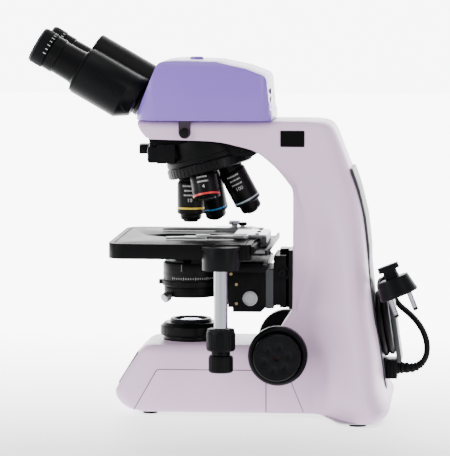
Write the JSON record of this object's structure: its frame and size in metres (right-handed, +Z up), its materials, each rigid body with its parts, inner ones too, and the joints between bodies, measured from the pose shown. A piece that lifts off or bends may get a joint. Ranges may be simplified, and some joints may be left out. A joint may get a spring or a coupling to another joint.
{
  "type": "laboratory microscope",
  "caption": "Upright microscope: pink cast stand, black stage and condenser, rotating nosepiece, inclined binocular on a violet camera head, focus knobs, wound mains lead.",
  "frame": {"origin": "on the table, at the middle of the stand's and head's footprint, without the mains lead", "axes": "+Z up; -X towards the user and the eyepieces; -Y the user's right"},
  "size_m": [0.3838, 0.2302, 0.3681],
  "materials": {
    "pink_paint": "satin enamel",
    "violet_plastic": "glossy moulded plastic",
    "black_paint": "fine textured black enamel",
    "black_plastic": "satin black plastic",
    "grey_plastic": "satin grey plastic",
    "dark_gloss": "dark glossy plastic",
    "rubber": "matt black rubber",
    "anodised": "black anodised",
    "bright_steel": "ground steel",
    "glass": "coated optical glass",
    "mirror": "first-surface mirror",
    "circuit": "green circuit board",
    "cord": "smooth black cable sheath"
  },
  "bodies": {
    "stand": {"base_housing": "pink_paint", "side_panels": "pink_paint", "bottom_plate": "bright_steel", "feet": "rubber", "front_panel": "dark_gloss", "column_housing": "pink_paint", "arm_housing": "pink_paint", "rear_panel": "grey_plastic", "cord_winder": "grey_plastic", "power_inlet": "black_plastic", "illuminator_collar": "anodised", "field_lens": "glass", "lamp_module": "bright_steel", "fold_mirror": "mirror", "power_board": "circuit", "focus_guide": "anodised", "nosepiece_mount": "black_paint", "power_lead": "cord", "lead_hank": "cord", "lead_connector": "black_plastic", "mains_plug": "black_plastic"},
    "switch": {"power_switch": "black_plastic"},
    "dial": {"brightness_dial": "black_plastic"},
    "lock_screw": {"head_lock_screw": "anodised"},
    "field_iris": {"field_iris_ring": "anodised"},
    "filter": {"filter_slider": "black_plastic"},
    "coarse_drive": {"coarse_knobs": "black_plastic", "coarse_shaft": "bright_steel"},
    "fine_drive": {"fine_knobs": "black_plastic", "fine_shaft": "bright_steel"},
    "nosepiece": {"turret": "anodised", "objective_4x": "anodised", "objective_10x": "anodised", "objective_40x": "anodised", "objective_100x": "anodised"},
    "head": {"head_shell": "violet_plastic", "head_dovetail": "bright_steel", "beam_splitter": "glass", "pivot_barrel": "black_paint"},
    "right_tube": {"prism_housing_right": "black_plastic"},
    "left_tube": {"prism_housing_left": "black_plastic"},
    "right_diopter": {"diopter_ring_right": "anodised"},
    "left_diopter": {"diopter_ring_left": "anodised"},
    "right_eyepiece": {"eyepiece_right": "rubber"},
    "left_eyepiece": {"eyepiece_left": "rubber"},
    "focus_carriage": {"focus_block": "black_paint", "focus_rack": "bright_steel", "stage_base": "black_paint"},
    "stage": {"stage_plate": "black_paint", "stage_drive_housing": "black_plastic"},
    "upper_knob": {"stage_knob_upper": "black_plastic"},
    "lower_knob": {"stage_knob_lower": "black_plastic"},
    "holder": {"slide_holder": "bright_steel"},
    "finger": {"spring_finger": "bright_steel"},
    "condenser": {"condenser_carrier": "black_paint", "condenser_body": "anodised"},
    "condenser_iris": {"condenser_iris_ring": "anodised"},
    "right_screw": {"centering_screw_right": "bright_steel"},
    "left_screw": {"centering_screw_left": "bright_steel"},
    "condenser_drive": {"condenser_knob": "black_plastic"}
  },
  "joints": [
    {"name": "switch_rock", "type": "hinge", "parent": "stand", "child": "switch", "pos_m": [-0.0239, 0.044, 0.0245], "axis": [0, 0, 1], "range_deg": [0, 14]},
    {"name": "dial_turn", "type": "hinge", "parent": "stand", "child": "dial", "pos_m": [0.0036, 0.05, 0.054], "axis": [0, 1, 0], "range_deg": [0, 270]},
    {"name": "lock_screw_turn", "type": "hinge", "parent": "stand", "child": "lock_screw", "pos_m": [-0.0284, -0.042, 0.27], "axis": [0, 1, 0], "range_deg": [-360, 0]},
    {"name": "field_iris_turn", "type": "hinge", "parent": "stand", "child": "field_iris", "pos_m": [-0.0264, 0, 0.076], "axis": [0, 0, 1], "range_deg": [-60, 60]},
    {"name": "filter_pull", "type": "slide", "parent": "stand", "child": "filter", "axis": [1, 0, 0], "range_m": [-0.03, 0]},
    {"name": "focus_lift", "type": "slide", "parent": "stand", "child": "focus_carriage", "axis": [0, 0, 1], "range_m": [-0.012, 0.0015]},
    {"name": "coarse_turn", "type": "hinge", "parent": "stand", "child": "coarse_drive", "pos_m": [0.0626, 0, 0.061], "axis": [0, 1, 0], "range_deg": [-16, 116]},
    {"name": "fine_turn", "type": "hinge", "parent": "stand", "child": "fine_drive", "pos_m": [0.0626, 0, 0.061], "axis": [0, 1, 0], "continuous": true},
    {"name": "nosepiece_turn", "type": "hinge", "parent": "stand", "child": "nosepiece", "pos_m": [-0.00747, 0, 0.23407], "axis": [0.2588, 0, -0.9659], "continuous": true},
    {"name": "head_turn", "type": "hinge", "parent": "stand", "child": "head", "pos_m": [-0.0264, 0, 0.2817], "axis": [0, 0, 1], "continuous": true},
    {"name": "right_tube_swing", "type": "hinge", "parent": "head", "child": "right_tube", "pos_m": [-0.0659, 0, 0.307], "axis": [-0.866, 0, 0.5], "range_deg": [-22, 20]},
    {"name": "left_tube_swing", "type": "hinge", "parent": "head", "child": "left_tube", "pos_m": [-0.0659, 0, 0.307], "axis": [-0.866, 0, 0.5], "range_deg": [-20, 22]},
    {"name": "right_diopter_turn", "type": "hinge", "parent": "right_tube", "child": "right_diopter", "pos_m": [-0.07185, -0.032, 0.29669], "axis": [-0.866, 0, 0.5], "range_deg": [-150, 150]},
    {"name": "right_eyepiece_pull", "type": "slide", "parent": "right_tube", "child": "right_eyepiece", "axis": [-0.866, 0, 0.5], "range_m": [0, 0.02]},
    {"name": "left_diopter_turn", "type": "hinge", "parent": "left_tube", "child": "left_diopter", "pos_m": [-0.07185, 0.032, 0.29669], "axis": [-0.866, 0, 0.5], "range_deg": [-150, 150]},
    {"name": "left_eyepiece_pull", "type": "slide", "parent": "left_tube", "child": "left_eyepiece", "axis": [-0.866, 0, 0.5], "range_m": [0, 0.02]},
    {"name": "stage_fore_aft", "type": "slide", "parent": "focus_carriage", "child": "stage", "axis": [1, 0, 0], "range_m": [-0.012, 0.018]},
    {"name": "upper_knob_turn", "type": "hinge", "parent": "stage", "child": "upper_knob", "pos_m": [0.0108, -0.095, 0.08], "axis": [0, 0, 1], "range_deg": [-125, 185]},
    {"name": "holder_travel", "type": "slide", "parent": "stage", "child": "holder", "axis": [0, 1, 0], "range_m": [-0.03, 0.03]},
    {"name": "lower_knob_turn", "type": "hinge", "parent": "stage", "child": "lower_knob", "pos_m": [0.0108, -0.095, 0.056], "axis": [0, 0, 1], "range_deg": [-275, 275]},
    {"name": "finger_swing", "type": "hinge", "parent": "holder", "child": "finger", "pos_m": [-0.0124, -0.0436, 0.17], "axis": [0, 0, 1], "range_deg": [0, 30], "stiffness_Nm_per_rad": 0.02},
    {"name": "condenser_lift", "type": "slide", "parent": "focus_carriage", "child": "condenser", "axis": [0, 0, 1], "range_m": [-0.008, 0]},
    {"name": "condenser_knob_turn", "type": "hinge", "parent": "focus_carriage", "child": "condenser_drive", "pos_m": [0.0334, 0, 0.1109], "axis": [0, 1, 0], "range_deg": [-94, 1]},
    {"name": "condenser_iris_turn", "type": "hinge", "parent": "condenser", "child": "condenser_iris", "pos_m": [-0.0264, 0, 0.123], "axis": [0, 0, 1], "range_deg": [-50, 50]},
    {"name": "right_screw_turn", "type": "hinge", "parent": "condenser", "child": "right_screw", "pos_m": [-0.04337, -0.01697, 0.1135], "axis": [-0.6409, -0.6409, -0.4226], "range_deg": [-360, 0]},
    {"name": "left_screw_turn", "type": "hinge", "parent": "condenser", "child": "left_screw", "pos_m": [-0.04337, 0.01697, 0.1135], "axis": [-0.6409, 0.6409, -0.4226], "range_deg": [-360, 0]}
  ],
  "couplings": [
    {"joint": "coarse_turn", "follows": "focus_lift", "rad_per_m": -166.67},
    {"joint": "left_tube_swing", "follows": "right_tube_swing", "ratio": -1},
    {"joint": "upper_knob_turn", "follows": "stage_fore_aft", "rad_per_m": 175},
    {"joint": "lower_knob_turn", "follows": "holder_travel", "rad_per_m": 157},
    {"joint": "condenser_knob_turn", "follows": "condenser_lift", "rad_per_m": 200}
  ]
}
